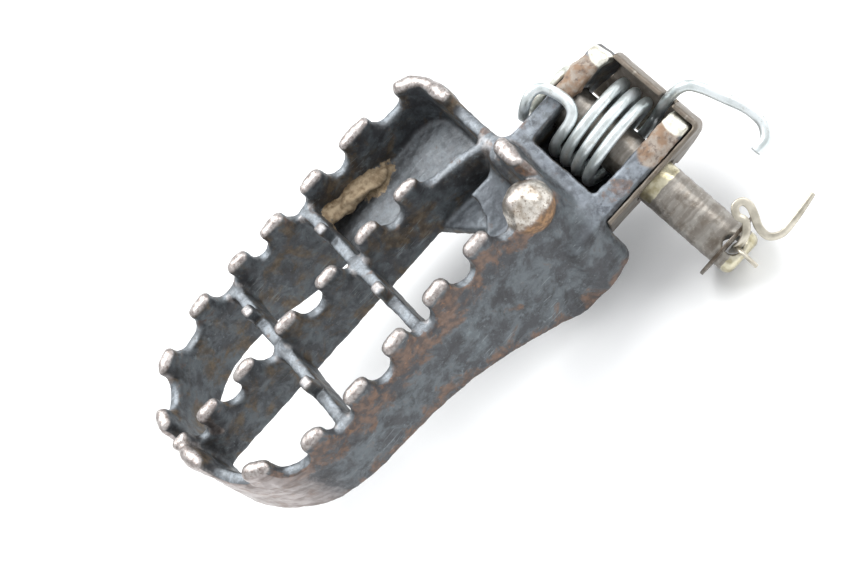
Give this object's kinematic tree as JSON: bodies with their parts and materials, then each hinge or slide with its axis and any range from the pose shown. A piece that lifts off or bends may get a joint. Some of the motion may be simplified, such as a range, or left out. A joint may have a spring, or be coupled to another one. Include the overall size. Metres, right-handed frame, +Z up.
{
  "type": "motorcycle foot peg",
  "caption": "Folding off-road motorcycle foot peg: open toothed cast tread and clevis on a leaning pivot pin, with return spring, washer, split pin and sheet plate.",
  "frame": {"origin": "on the pivot pin's axis, midway between the two clevis ears", "axes": "+X outward to the tip of the peg, +Y to the rear of the motorcycle, +Z up"},
  "size_m": [0.1332, 0.0803, 0.0441],
  "materials": {
    "cast_steel": "worn dark phosphate with rust, teeth rubbed bright",
    "pin_steel": "worn yellow-zinc plate",
    "zinc_wire": "bright zinc plate",
    "sheet_steel": "scuffed, brown-stained sheet"
  },
  "bodies": {
    "pivot": {"pivot_pin": "pin_steel", "split_pin": "zinc_wire", "return_spring": "zinc_wire"},
    "peg": {"peg_casting": "cast_steel", "clevis_plate": "sheet_steel"},
    "washer": {"flat_washer": "pin_steel"}
  },
  "joints": [
    {"name": "fold", "type": "hinge", "parent": "pivot", "child": "peg", "pos_m": [0, 0, 0], "axis": [0, -0.8545, 0.5195], "range_deg": [0, 75], "stiffness_Nm_per_rad": 0.25, "springref_deg": -51.57, "deforming": ["return_spring"]},
    {"name": "washer_turn", "type": "hinge", "parent": "pivot", "child": "washer", "pos_m": [0, 0.02965, -0.01803], "axis": [0, 0.8545, -0.5195], "continuous": true}
  ]
}
